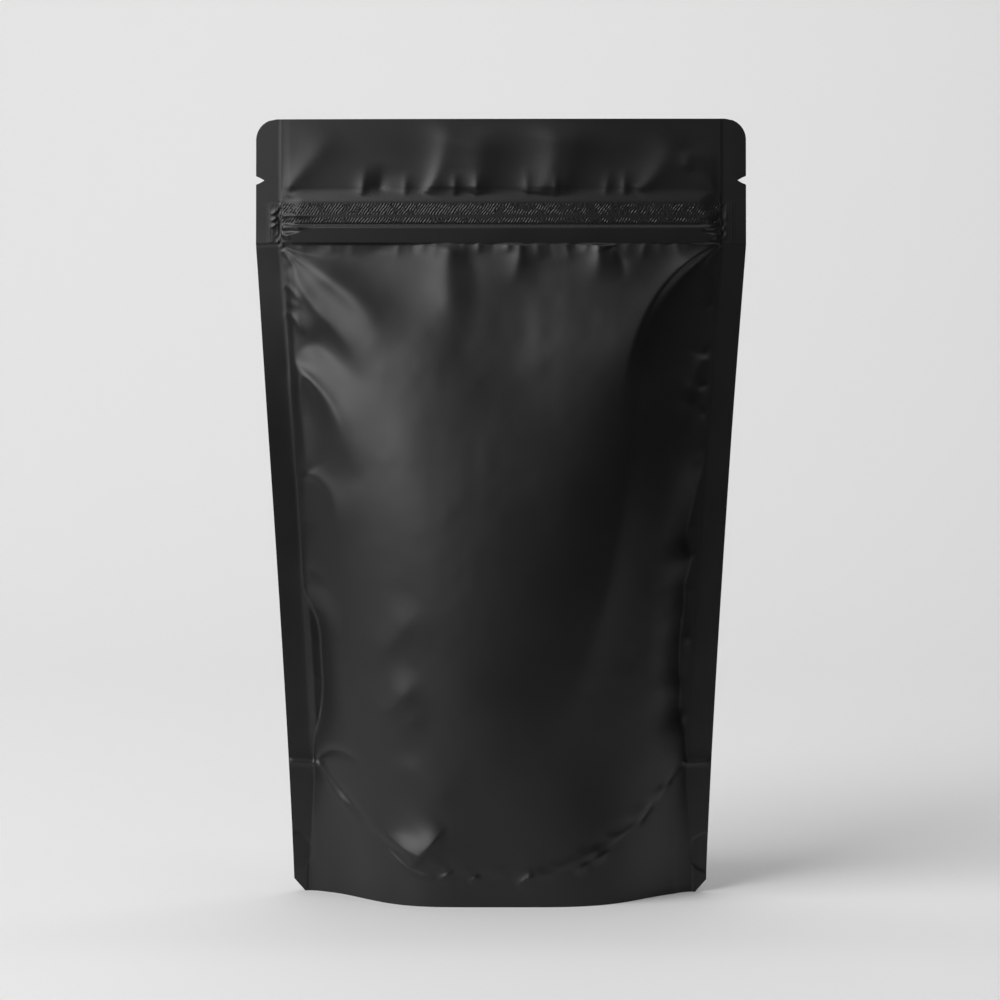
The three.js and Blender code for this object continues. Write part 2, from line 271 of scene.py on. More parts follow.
# Every crease: its path as (x, z) places, the widths at its ends and its height, in millimetres
FRONT_CREASES = [
    # the fullest part of the belly leans to the right, past a shallow hollow under the zip's middle
    crease([(61, 203), (46, 186), (41, 165), (40, 145), (34, 114), (25, 85), (18, 55), (12, 20)], (5, 7.5),
           6.2, crisp=4.0, lean=0.5, rise=0.25, fall=0.8),
    crease([(-2, 204), (9, 186), (4, 168), (-6, 145), (-7, 120)], (9, 14), -1.2, crisp=1.3, rise=0.12,
           fall=0.6),
    # from the zip's left end down to the right: a flat-topped fold, the hollow below it and the next fold
    crease([(-66.5, 203.5), (-62, 198.5), (-55.5, 193), (-48, 188), (-42, 182), (-38, 175), (-38, 165)],
           (1.5, 5.4), 2.0, crisp=0.9, lean=-0.1, rise=0.4, fall=0.5),
    crease([(-64, 198), (-61, 188), (-54, 179.5), (-46, 171), (-39, 162)], (1.1, 5.2), 1.2, crisp=0.75,
           lean=-0.3, rise=0.25, fall=0.5),
    crease([(-67, 164), (-60, 171), (-55, 171), (-50, 167), (-43, 163), (-36, 159)], (1.4, 6.5), -1.7,
           crisp=1.2, lean=-0.2, rise=0.4, fall=0.6),
    crease([(-65, 167), (-59, 160.5), (-52, 151.5), (-48, 140), (-43, 130)], (1, 5.2), 1.7, crisp=0.7,
           lean=0.1, rise=0.2, fall=0.5),
    crease([(-62, 131.5), (-54, 128), (-50.5, 119), (-48, 108)], (1.5, 4), 0.6, crisp=0.5, lean=-0.2,
           rise=0.1, fall=0.5),
    crease([(-35, 162), (-32, 140), (-31, 110), (-28, 75)], (7, 14), 1.4, crisp=2.0, rise=0.3, fall=0.7),
    crease([(-43, 53), (-34, 60), (-25, 73)], (2.6, 4.2), 1.0, crisp=0.8, lean=-0.15, rise=0.4),
    crease([(-37, 50), (-30, 54), (-23, 61)], (2.2, 3.4), 0.5, crisp=0.8, rise=0.4),
    crease([(-42, 72), (-33, 82), (-24, 94)], (2.8, 4.4), 0.6, crisp=0.9, lean=-0.15, rise=0.4),
    crease([(-33, 47), (-23, 37), (-13, 26)], (3, 4.4), 0.5, crisp=0.9, rise=0.3),
    # the folds that hang from the zip
    crease([(-14, 203.5), (-16, 197), (-16, 187.5), (-22, 170)], (2.6, 9), 1.2, crisp=0.6, rise=0.12,
           fall=0.6),
    crease([(-13, 203), (-8, 193), (-9, 178), (-7.5, 155)], (2, 6.7), -0.3, crisp=0.7, rise=0.1),
    crease([(6.5, 203.5), (6, 198), (2.5, 187)], (1.7, 6), 0.85, crisp=0.3, rise=0.1, fall=0.7),
    crease([(30, 203.5), (30.8, 198), (28.5, 188)], (1.5, 9), 1.15, crisp=0.25, lean=-0.15, rise=0.1,
           fall=0.7),
    crease([(33.5, 202), (37.5, 196.5), (38, 190)], (1.5, 1.9), -0.6, crisp=0.45, rise=0.1, fall=0.6),
    crease([(11.5, 192), (12, 176), (10.5, 155)], (3.1, 3.8), 0.25, crisp=0.9, rise=0.3),
    crease([(21, 190), (19.5, 175), (18, 158)], (4.5, 5), 0.25, crisp=1.1, rise=0.35),
    # from the zip's right end down to the left, and the folds and hollows beside the right seal
    crease([(68, 203), (60, 198.5), (55, 194.5), (48.5, 187), (43.5, 179), (41, 173), (38.5, 162.5),
            (35.5, 145)], (1.3, 7.2), 2.3, crisp=0.2, lean=0.6, rise=0.15, fall=0.5),
    crease([(63.5, 168), (60.5, 161), (58.5, 152)], (1.7, 2.4), -0.6, crisp=0.4, rise=0.08),
    crease([(62.5, 159), (58, 152), (55.5, 142)], (1.7, 3.3), -0.2, crisp=0.4),
]

FRONT_BULGES = [
    bulge((-32, 166), (42, 20), 2.2, turn=-13),
    bulge((-42, 202), (56, 14), -1.3, turn=-40),
    bulge((-30.5, 16.5), (10, 4), 1.3, turn=2),
]

# Thin creases and edges, also across the seals
FRONT_LINES = [
    # a fan of thin creases from each end of the zip
    crease([(-68.3, 202.3), (-64, 198.4), (-57, 193.5)], (0.4, 1.3), 0.3, crisp=0.2, rise=0.06, fall=0.6),
    crease([(-68, 201.8), (-62, 199.6), (-54, 198)], (0.4, 1.4), -0.3, crisp=0.2, rise=0.06, fall=0.6),
    crease([(-67.8, 200.6), (-64.5, 196), (-62, 190)], (0.4, 1.2), 0.35, crisp=0.2, rise=0.06, fall=0.6),
    crease([(-67.2, 190), (-64, 187.2), (-61, 183)], (0.5, 1.0), 0.35, crisp=0.2),
    crease([(-66.6, 181.5), (-63, 178), (-60.5, 173)], (0.6, 1.2), 0.4, crisp=0.2),
    crease([(68.3, 202.3), (63, 197.6), (57, 193)], (0.4, 1.2), -0.2, crisp=0.2, rise=0.06, fall=0.6),
    crease([(68, 201.4), (64.5, 197), (62, 189)], (0.4, 1.2), 0.15, crisp=0.2, rise=0.06, fall=0.6),
    # the crushed left end of the zip catches the light
    *[crease([(-71.4, z - 0.9), (-69, z + 0.9)], (0.5, 0.5), 0.4, crisp=0.2, rise=0.3)
      for z in (208, 210, 212)],
    crease([(-68, 211.3), (-62, 211), (-55, 210.9)], (0.6, 0.4), 0.5, crisp=0.2, rise=0.05, fall=0.9),
    crease([(-68, 207.2), (-64, 207.5), (-58, 207.6)], (0.6, 0.4), 0.45, crisp=0.2, rise=0.05, fall=0.9),
    crease([(-68.2, 205.4), (-65, 205.2)], (0.6, 0.5), 0.4, crisp=0.2, rise=0.1, fall=0.8),
    # lips of film along the left seal
    crease([(-64.4, 196), (-63.4, 186), (-62.6, 174)], (1.4, 1.6), 0.5, crisp=0.5, rise=0.3, fall=0.3),
    crease([(-63, 166), (-61.6, 150), (-60.3, 136), (-59.8, 124)], (1.3, 1.8), 1.0, crisp=0.5, rise=0.2,
           fall=0.3),
    crease([(-61, 112), (-60, 96), (-58.7, 75), (-57.8, 58), (-57.5, 44)], (1.2, 1.1), 0.5, crisp=0.3,
           rise=0.2, fall=0.1),
    # where the curved seal meets the side seals
    crease([(-66, 40.9), (-57, 40.4)], (0.5, 0.5), 0.6, crisp=0.2, rise=0.05, fall=0.05),
    crease([(66, 40.9), (57, 40.4)], (0.5, 0.5), 0.5, crisp=0.2, rise=0.05, fall=0.05),
    crease([(-58, 41.5), (-54.4, 36), (-49, 29.5), (-42, 22)], (0.9, 1.0), 0.6, crisp=0.25, rise=0.05,
           fall=0.5),
    crease([(-57, 42), (-52.4, 37), (-46, 29.8), (-38, 20.8)], (0.7, 0.8), -0.5, crisp=0.25, rise=0.05),
    crease([(-57.5, 41), (-52.5, 45.2), (-47, 44.8), (-41, 42)], (0.9, 1.8), -0.8, crisp=0.3, rise=0.08,
           fall=0.5),
    crease([(57.4, 40.5), (53.8, 37), (50, 31)], (0.5, 0.8), -0.5, crisp=0.25, rise=0.06, fall=0.5),
    crease([(48.5, 31), (45.5, 27), (42.5, 22)], (0.6, 0.7), -0.45, crisp=0.25, rise=0.3),
    # the small pouch of film above the seal at the lower left, and the edge under it
    crease([(-16.5, 25.5), (-21, 19.5), (-29, 12.5)], (2.2, 3.6), 1.5, crisp=0.3, lean=0.5, rise=0.45,
           fall=0.15),
    crease([(-35.5, 17.6), (-31, 13.4), (-25, 10), (-17, 8.8)], (0.5, 0.6), 0.4, crisp=0.25, rise=0.1),
    # glints along the lowest stretch of the curved seal
    crease([(-19.5, 8), (-13.5, 11.4)], (0.9, 0.9), 0.7, crisp=0.3, rise=0.5, fall=0.5),
    crease([(-10, 7.4), (-5.5, 10)], (0.8, 0.8), 0.6, crisp=0.3, rise=0.5, fall=0.5),
    crease([(4.5, 6.2), (11, 10.8)], (1.3, 1.2), 1.1, crisp=0.3, rise=0.5, fall=0.5),
    crease([(8, 8.6), (13, 9.6), (21, 11)], (0.9, 0.7), 0.5, crisp=0.3, rise=0.1, fall=0.7),
    crease([(22.5, 10), (27.5, 14)], (0.9, 0.9), 0.7, crisp=0.3, rise=0.5, fall=0.5),
    crease([(28, 12.8), (34, 17.2)], (1.1, 1.0), 0.7, crisp=0.3, rise=0.5, fall=0.5),
]

# Folds of both films together above the zip, fading into the sealed top
HEADER_CREASES = [
    crease([(-68.5, 216), (-64, 222), (-56.5, 230.5), (-50, 239)], (1.5, 8), 0.7, crisp=0.45, rise=0.1,
           fall=0.4),
    crease([(-43, 216.5), (-41.5, 228)], (1.2, 2.8), 0.7, rise=0.15, fall=0.85),
    crease([(-37.5, 216.5), (-36.5, 228)], (1.5, 4.2), -0.6, rise=0.35, fall=0.65),
    crease([(-29.5, 216.5), (-29, 226)], (0.9, 2.2), 0.4, rise=0.2, fall=0.8),
    crease([(-23.5, 217), (-19.5, 222.5), (-16.5, 230.5), (-13.5, 241)], (1.8, 10), 0.8, crisp=0.5, lean=0.4,
           rise=0.08, fall=0.3),
    crease([(-14, 216.5), (-14, 226)], (0.9, 2.2), 0.65, rise=0.2, fall=0.8),
    crease([(-7.5, 216.5), (-7, 226)], (0.9, 2.1), 0.65, rise=0.2, fall=0.8),
    crease([(-6.5, 217), (-6, 231), (-4, 241)], (2.6, 6.5), 0.8, crisp=1.0, rise=0.1, fall=0.4),
    crease([(8.5, 216.5), (8, 228)], (1.0, 2.4), 0.4, rise=0.2, fall=0.8),
    crease([(12, 217), (17, 231), (16, 241)], (2.8, 6), 1.0, crisp=0.75, rise=0.06, fall=0.3),
    crease([(17, 216.5), (17.5, 226)], (1.0, 2.0), 0.65, rise=0.2, fall=0.8),
    crease([(19.5, 217), (22.5, 231), (25, 241)], (1.8, 6.5), 0.45, crisp=0.7, rise=0.06, fall=0.3),
    crease([(32.5, 216.5), (34, 227)], (1.1, 2.4), 0.4, rise=0.2, fall=0.8),
    crease([(38.5, 216.5), (38.5, 227)], (1.0, 2.4), 0.6, rise=0.2, fall=0.8),
    crease([(41.5, 218), (47.5, 223), (52, 230), (56, 238)], (1.5, 7), 0.7, crisp=0.55, rise=0.1, fall=0.4),
    crease([(57.5, 224), (58.5, 232)], (1.9, 2.7), 0.5, crisp=0.7, rise=0.4),
    crease([(68, 217.5), (62.5, 225.5), (60, 234)], (1.6, 3.7), 0.3, crisp=0.5, rise=0.1, fall=0.5),
]


def header_relief(x, z):
    """The header's folds, which both films share."""
    free = smooth((z - ZIP_TOP - 0.2) / 5) * smooth((seal_line(z) - np.abs(x)) / 3)
    return free * creases_height(HEADER_CREASES, x, z)


def middle(x, z):
    """Where both films meet: bowed, turned and leaning back at the header, swung back at the lower right."""
    up = smooth((z - 140) / 70)
    bow = HEADER_BOW * up * (1 - (2 * x / TOP_WIDTH) ** 2)
    turn = HEADER_TURN * up * x
    lean = HEADER_LEAN * np.maximum(z - ZIP_BOTTOM, 0)
    sway = CORNER_SWAY * smooth((x - 26) / 36) * clamp(1 - z / 90) ** 2
    return SET_BACK + lean - bow - turn - sway - header_relief(x, z)


def zip_puckers(seed, count):
    """Small uneven wrinkles where the film hangs from the zip."""
    rng = np.random.default_rng(seed)
    folds = []
    for x in np.linspace(-62, 62, count) + rng.uniform(-1.2, 1.2, count):
        length, width = rng.uniform(3, 7), rng.uniform(0.8, 1.5)
        height = rng.choice([-1, 1]) * rng.uniform(0.12, 0.42)
        end = (x + rng.uniform(-2, 2), ZIP_BOTTOM - length)
        folds.append(crease([(x, ZIP_BOTTOM + 0.6), end], (width, 2 * width), height, rise=0.08, fall=0.8))
    return folds


def seal_puckers(seed, low_end, high_end, count):
    """Small wrinkles that run in from both side seals."""
    rng = np.random.default_rng(seed)
    folds = []
    for side in (-1, 1):
        for z in np.linspace(low_end, high_end, count) + rng.uniform(-2.5, 2.5, count):
            start = side * (float(seal_line(z)) + 0.4)
            length, width = rng.uniform(2.5, 9), rng.uniform(0.6, 1.4)
            height = rng.choice([-1, 1], p=[0.4, 0.6]) * rng.uniform(0.2, 0.6)
            end = (start - side * length, z - length * rng.uniform(0.2, 1.1))
            folds.append(crease([(start, z), end], (width, 2 * width), height, rise=0.1, fall=0.8))
    return folds


def arc_puckers(seed, count):
    """Small wrinkles that rise from the curved gusset seal."""
    rng = np.random.default_rng(seed)
    folds = []
    for x in np.linspace(-50, 50, count) + rng.uniform(-1.5, 1.5, count):
        z = float(gusset_seal(x))
        length, width = rng.uniform(2.5, 6), rng.uniform(0.9, 1.7)
        height = rng.choice([-1, 1]) * rng.uniform(0.15, 0.45)
        end = (x * 0.97 + rng.uniform(-1.5, 1.5), z + length)
        folds.append(crease([(x, z - 0.3), end], (width, 2 * width), height, rise=0.12, fall=0.8))
    return folds


# ---------------------------------------------------------------- one face of the pouch
def zip_relief(x, z):
    """The zip's plate with its soft lower ridge, fading into the header above and crumpled to its ends."""
    inside = seal_line(z) - np.abs(x)
    plate = smooth((ZIP_TOP + ZIP_SHOULDER - z) / ZIP_SHOULDER)
    ridge = RIDGE * smooth((RIDGE_TOP - z) / 0.9) - 0.35 * clamp((RIDGE_TOP - 0.9 - z) / 5)
    groove = -0.18 * np.exp(-(((z - RIDGE_TOP - 0.2) / 0.4) ** 2))
    uneven = 1 + 0.5 * noise(0 * x, z / 1.6, 34)
    ends = mix(0.12, 1, smooth(inside / (ZIP_ENDS * uneven)))
    near_end = smooth((8 - inside) / 6) * smooth(inside / 1.5)
    in_height = smooth((214 - z) / 3) * smooth((z - 205) / 3)
    crumpled = 0.3 * noise(x / 2.6, z / 0.9, 33) * near_end * in_height
    return (ZIP_PLATE + ridge + groove) * plate * ends + crumpled


def knurl(x, z):
    """Slanted strokes that the sealing tool prints on the zip's two strips, mostly rising to the right."""
    waver = 1.6 * noise(x / 3, z / 3, 21) + 1.1 * noise(x / 1.1, z / 0.9, 22)
    steep = 2 * math.pi / KNURL_PITCH
    one = np.sin(steep * (0.8 * x - 0.6 * z) + waver)
    two = np.sin(steep * (0.55 * x + 0.84 * z) - waver)
    share = 0.1 + 0.35 * smooth(x / 60 + 0.7) + 1.1 * noise(x / 1.3 + 9, z / 1.1, 23)
    pattern = mix(one, two, smooth(share))
    broken = 0.6 + 0.5 * np.sin(2 * math.pi * (0.5 * x + 0.87 * z) / STROKE_LENGTH + 3 * waver)
    pattern = pattern * broken * (0.8 + 0.4 * noise(x / 0.7, z / 0.7, 24))
    height = 0
    for bottom, top, strength in KNURL_STRIPS:
        height = height + strength * smooth((z - bottom) / 0.25) * smooth((top - z) / 0.25)
    return height * pattern * mix(1, 0.7, smooth(x / 60 + 0.5))


def side_seal_relief(x, z):
    """Layers, pressed lines and the crushed ends of the zip in the flat side seals."""
    outward = np.abs(x) - seal_line(z)
    layers = LAYER * smooth((GUSSET_SIDE_HEIGHT - 0.2 - z) / 0.5)
    in_zip = smooth((z - ZIP_BOTTOM) / 0.6) * smooth((ZIP_TOP - z) / 0.6)
    crushed = in_zip * smooth((ZIP_CRUSHED - outward) / 1.2)
    ribs = 0.025 * np.sin(2 * math.pi * outward / RIB_PITCH) * (1 + noise(x * 2, z * 1.3, 31))
    crumpled = 0.2 * noise(x * 1.1, z * 0.7, 35) * smooth((2.6 - outward) / 2)
    pressed = -0.1 * smooth(outward / 0.3) * smooth((z - GUSSET_SIDE_HEIGHT) / 4)
    bent = -0.08 * np.exp(-(((z - ZIP_BOTTOM + 0.06 * outward) / 0.4) ** 2))
    return layers + pressed + bent + crushed * (0.04 + ribs + crumpled)


def tack_seal(x, z):
    """Share of the half-round tack seal near each lower corner, and its slightly tilted face."""
    from_tack = np.hypot(np.abs(x) - half_width(TACK_HEIGHT), z - TACK_HEIGHT)
    return smooth((TACK_RADIUS - from_tack) / 0.6), -TACK_TILT * (x - np.sign(x) * seal_line(TACK_HEIGHT))


def unrest(x, z):
    """The film is never quite smooth: faint broad and small dents, stronger beside the seals."""
    beside = mix(2.4, 1, smooth((seal_line(z) - np.abs(x)) / 22))
    return beside * (0.07 * noise(x / 10, z / 13, 41) + 0.025 * noise(x / 4, z / 5, 42))


def face(folds, forms, lines, x, z):
    """How far one face stands out from where both films meet."""
    inside = seal_line(z) - np.abs(x)
    free = smooth(inside / 2.5) * smooth((ZIP_BOTTOM + 1.4 - z) / 1.4) * smooth((z - gusset_seal(x)) / 3)
    relief = creases_height(folds, x, z) + bulges_height(forms, x, z) + unrest(x, z)
    low_part = never_below(belly(x, z) + relief * free, 0.8 * smooth(inside / 4))
    sealed_top = HEIGHT - TOP_SEAL
    open_part = smooth((z - ZIP_TOP - 0.6) / 4) * smooth((sealed_top - z) / 12) * smooth(inside / 8)
    high_part = HEADER_DEPTH * open_part + zip_relief(x, z) + knurl(x, z) * smooth(inside / 0.8)
    out = mix(low_part, high_part, smooth((z - ZIP_BOTTOM + 0.3) / 0.8))
    sealed = np.where(inside <= 0, side_seal_relief(x, z), 0)
    out = np.where((inside <= 0) | (z >= sealed_top), sealed, out)
    tack, tilted = tack_seal(x, z)
    out = mix(out, tilted, tack) + creases_height(lines, x, z)
    return SEAL_HALF + np.maximum(out, DEEPEST_LINE)


# The back has folds of its own
BACK_CREASES = [
    crease([(-67.5, 202.6), (-57, 190), (-46, 179), (-36, 163)], (1.8, 8), 2.6, crisp=0.35, rise=0.1,
           fall=0.45),
    crease([(-62, 182), (-53, 166), (-47, 150)], (3.5, 5), -1.4, crisp=0.7, rise=0.2),
    crease([(-63, 150), (-55, 146), (-46, 134)], (2, 4), 0.9, crisp=0.5),
    crease([(-24, 203.5), (-23, 195), (-20.5, 182)], (2, 6), 1.3, crisp=0.3, rise=0.05, fall=0.6),
    crease([(-2, 203.5), (-3, 195), (-6, 184)], (1.6, 5), 0.8, crisp=0.4, rise=0.05, fall=0.6),
    crease([(12, 203.5), (12.5, 194), (15.5, 178)], (2, 7), 1.5, crisp=0.3, rise=0.05, fall=0.6),
    crease([(41, 203.5), (40, 197), (39, 190)], (1.6, 4), 0.7, crisp=0.4, rise=0.05, fall=0.6),
    crease([(67.5, 202.6), (56, 190), (48, 180), (40, 166)], (1.8, 8), 2.4, crisp=0.35, rise=0.1, fall=0.45),
    crease([(64, 176), (55, 162), (46, 146)], (3, 5), -1.4, crisp=0.7, rise=0.2),
    crease([(63.5, 163), (54, 156), (41, 140)], (2.4, 5), 1.2, crisp=0.5, rise=0.15),
    crease([(-60, 112), (-56, 84), (-56, 50)], (2.4, 3), -1.2, crisp=0.6, rise=0.3),
    crease([(60, 98), (56, 76), (57, 48)], (2.4, 3), -1.1, crisp=0.6, rise=0.3),
    crease([(22, 64), (30, 55), (41, 45)], (3, 5), 0.8, crisp=0.7, rise=0.3),
]

# The same thin creases where the curved seal meets the side seals behind
BACK_LINES = [
    crease([(-57.4, 40.5), (-53.6, 36), (-48, 29)], (0.5, 0.9), -0.4, crisp=0.25, rise=0.06, fall=0.5),
    crease([(57.4, 40.5), (54, 35.8), (49, 30), (42, 22.6)], (0.5, 0.9), -0.4, crisp=0.25, rise=0.06,
           fall=0.5),
    crease([(-30, 14.6), (-22, 11), (-12, 9)], (0.7, 0.6), 0.45, crisp=0.3, rise=0.2),
    crease([(8, 8.8), (16, 9.8), (24, 12)], (0.7, 0.6), 0.4, crisp=0.3, rise=0.2),
]

BACK_BULGES = [
    bulge((-18, 120), (30, 46), 0.9),
    bulge((31, 17), (9, 3.5), 0.8, turn=10),
]


def front_face(x, z):
    folds = [
        *FRONT_CREASES,
        *zip_puckers(seed=7, count=30),
        *seal_puckers(seed=11, low_end=58, high_end=196, count=13),
        *arc_puckers(seed=13, count=22),
    ]
    return face(folds, FRONT_BULGES, FRONT_LINES, x, z)


def back_face(x, z):
    folds = [
        *BACK_CREASES,
        *zip_puckers(seed=17, count=24),
        *seal_puckers(seed=19, low_end=56, high_end=196, count=11),
        *arc_puckers(seed=23, count=16),
    ]
    return face(folds, BACK_BULGES, BACK_LINES, x, z)


# ---------------------------------------------------------------- mesh
# Rows as (lowest, highest, pitch). The zip band has finer rows and columns than the rest.
ROWS_BELOW = [(0, 3, 0.4), (3, 46, 0.45), (46, 195, 0.65), (195, 201.8, 0.35)]
ROWS_ZIP = [(202, 215.6, 0.2)]
ROWS_ABOVE = [(215.9, 219.6, 0.4), (219.6, 224.4, 0.24), (224.4, 234, 0.6), (234, 241, 0.5)]
COLUMN_PITCH = 0.58
TIGHT_INSIDE = (1.2, 0.6, 0.25, 0)
OUTER_COLUMNS = 9
FINER = 3
SKIPPED_AT_BACK = 2
WALL_STEPS = 8
GUSSET_STEPS = 16
LEAST_GAP = 0.4
SHARP_ANGLE = 72


def row_heights(bands):
    rows = [np.linspace(bottom, top, round((top - bottom) / pitch) + 1)[:-1] for bottom, top, pitch in bands]
    return np.concatenate([*rows, [bands[-1][1]]])


def column_places(z):
    """The columns' places across: even inside, close together at the seal lines, even in the seals."""
    seal, half = seal_line(z)[:, None], half_width(z)[:, None]
    count = int(TOP_WIDTH / COLUMN_PITCH / 4) * 4
    tight = [seal - inside for inside in TIGHT_INSIDE[1:]]
    outer = [mix(seal + 0.3, half, i / OUTER_COLUMNS) for i in range(OUTER_COLUMNS + 1)]
    right = np.hstack(tight + outer)
    inner = np.linspace(-1, 1, count + 1)[None, :] * (seal - TIGHT_INSIDE[0])
    return np.hstack([-right[:, ::-1], inner, right])


def refined(places, times):
    """The same places with several times as many steps between them."""
    count = places.shape[1]
    at = np.arange((count - 1) * times + 1) / times
    return np.array([np.interp(at, np.arange(count), row) for row in places])


def thinned(places, skip):
    return places[:, ::skip]


def sheet(z, x, side):
    """The points of one face, in front where side is negative."""
    depth = front_face(x, z) if side < 0 else back_face(x, z)
    return np.stack([x, middle(x, z) + side * depth, z], axis=-1)


def quads(index):
    """Four-sided faces between the rows of a grid of points."""
    return np.stack([index[:-1, :-1], index[:-1, 1:], index[1:, 1:], index[1:, :-1]], axis=-1).reshape(-1, 4)


def joined(coarse, fine):
    """Faces between a row of points and another that has several times as many, both from left to right."""
    times = (len(fine) - 1) // (len(coarse) - 1)
    faces = []
    for i in range(len(coarse) - 1):
        near = [int(coarse[i]), int(coarse[i + 1])]
        faces.append(near + [int(k) for k in fine[i * times:(i + 1) * times + 1][::-1]])
    return faces


class Shell:
    """Points and faces of one closed mesh, added block by block."""

    def __init__(self):
        self.blocks = []
        self.count = 0
        self.faces = []

    def add(self, points):
        index = np.arange(self.count, self.count + points.shape[0] * points.shape[1])
        self.blocks.append(points.reshape(-1, 3))
        self.count += len(index)
        return index.reshape(points.shape[:2])

    def close(self, faces, flip=False):
        for face_points in faces:
            ordered = [int(k) for k in face_points]
            self.faces.append(ordered[::-1] if flip else ordered)


def add_side(shell, side):
    """One face of the pouch. Returns its rows' end points and its lowest and highest rows."""
    flip = side > 0
    skip = SKIPPED_AT_BACK if flip else 1
    blocks = []
    for bands in (ROWS_BELOW, ROWS_ZIP, ROWS_ABOVE):
        z = row_heights(bands)
        x = thinned(column_places(z), skip)
        x = refined(x, FINER) if bands is ROWS_ZIP else x
        index = shell.add(sheet(np.broadcast_to(z[:, None], x.shape), x, side))
        shell.close(quads(index), flip)
        blocks.append(index)
    below, band, above = blocks
    shell.close(joined(below[-1], band[0]), flip)
    shell.close([face_points[::-1] for face_points in joined(above[0], band[-1])], flip)
    left = np.concatenate([block[:, 0] for block in blocks])
    right = np.concatenate([block[:, -1] for block in blocks])
    return left, right, below[0], above[-1]


def gusset_fold(x):
    """Height of the gusset's middle fold: near the floor in the middle, up at the side seals."""
    reach = seal_line(GUSSET_SIDE_HEIGHT) - GUSSET_FLOOR_HALF_LENGTH
    outward = clamp((np.abs(x) - GUSSET_FLOOR_HALF_LENGTH) / reach)
    return mix(GUSSET_FLOOR_GAP, GUSSET_SIDE_HEIGHT, outward**1.5)


def lining(x):
    """The inside of the skirts and the gusset between them, one column of points for each place across."""
    seal = gusset_seal(x)
    levels = np.linspace(0, 1, WALL_STEPS + 1)[:, None] * seal
    x_levels = np.broadcast_to(x, levels.shape)
    near = middle(x_levels, levels) - front_face(x_levels, levels) + SKIRT_THICKNESS
    far = middle(x_levels, levels) + back_face(x_levels, levels) - SKIRT_THICKNESS
    across = np.linspace(-1, 1, GUSSET_STEPS + 1)[1:-1, None]
    roof_y = mix(near[-1], far[-1], (across + 1) / 2)
    roof_z = mix(gusset_fold(x), seal, across**2)
    y = np.vstack([near, roof_y, far[::-1]])
    z = np.vstack([levels, roof_z, levels[::-1]])
    return np.stack([np.broadcast_to(x, y.shape), y, z], axis=-1)


def add_bottom(shell, front_rim, back_rim):
    """Closes the floor: flat where the skirts are sealed together, and open under the gusset between."""
    x = thinned(column_places(np.zeros(1)), SKIPPED_AT_BACK)[0]
    zero = np.zeros(x.shape)
    gap = np.minimum(front_face(x, zero), back_face(x, zero)) - SKIRT_THICKNESS
    opened = np.flatnonzero(gap > LEAST_GAP)
    first, last = opened[0], opened[-1]
    skip = SKIPPED_AT_BACK
    inner = shell.add(lining(x[first:last + 1]))
    shell.close(quads(inner), flip=True)
    shell.close(joined(inner[0], front_rim[first * skip:last * skip + 1]))
    shell.close(quads(np.stack([inner[-1], back_rim[first:last + 1]])), flip=True)
    shell.close(joined(back_rim[:first + 1], front_rim[:first * skip + 1]))
    shell.close(joined(back_rim[last:], front_rim[last * skip:]))
    shell.close([[front_rim[first * skip], *inner[:, 0], back_rim[first]]], flip=True)
    shell.close([[front_rim[last * skip], *inner[:, -1], back_rim[last]]])


def make_object(name, points, faces, material, crease_angle=None):
    mesh = bpy.data.meshes.new(name)
    mesh.from_pydata((points * MM).tolist(), [], faces)
    mesh.polygons.foreach_set("use_smooth", [True] * len(mesh.polygons))
    if crease_angle:
        mesh.set_sharp_from_angle(angle=math.radians(crease_angle))
    mesh.materials.append(material)
    mesh.update()
    made = bpy.data.objects.new(name, mesh)
    bpy.context.scene.collection.objects.link(made)
    return made


def pouch_mesh(material):
    shell = Shell()
    front_left, front_right, front_rim, front_top = add_side(shell, -1)
    back_left, back_right, back_rim, back_top = add_side(shell, 1)
    shell.close(quads(np.stack([back_left, front_left], axis=1)))
    shell.close(quads(np.stack([front_right, back_right], axis=1)))
    shell.close(joined(back_top, front_top), flip=True)
    add_bottom(shell, front_rim, back_rim)
    return make_object("pouch_film", np.concatenate(shell.blocks), shell.faces, material, SHARP_ANGLE)


# ---------------------------------------------------------------- material
SPECULAR = 0.42
GLOSSIEST = 0.39
DULLEST = 0.45
CLOUD_SCALE = 38.0
GRAIN_SCALE = 1400.0
GRAIN_DEPTH = 0.00004
DARK_FILM = (0.0078, 0.0078, 0.0081, 1)
PALE_FILM = (0.0094, 0.0094, 0.0097, 1)


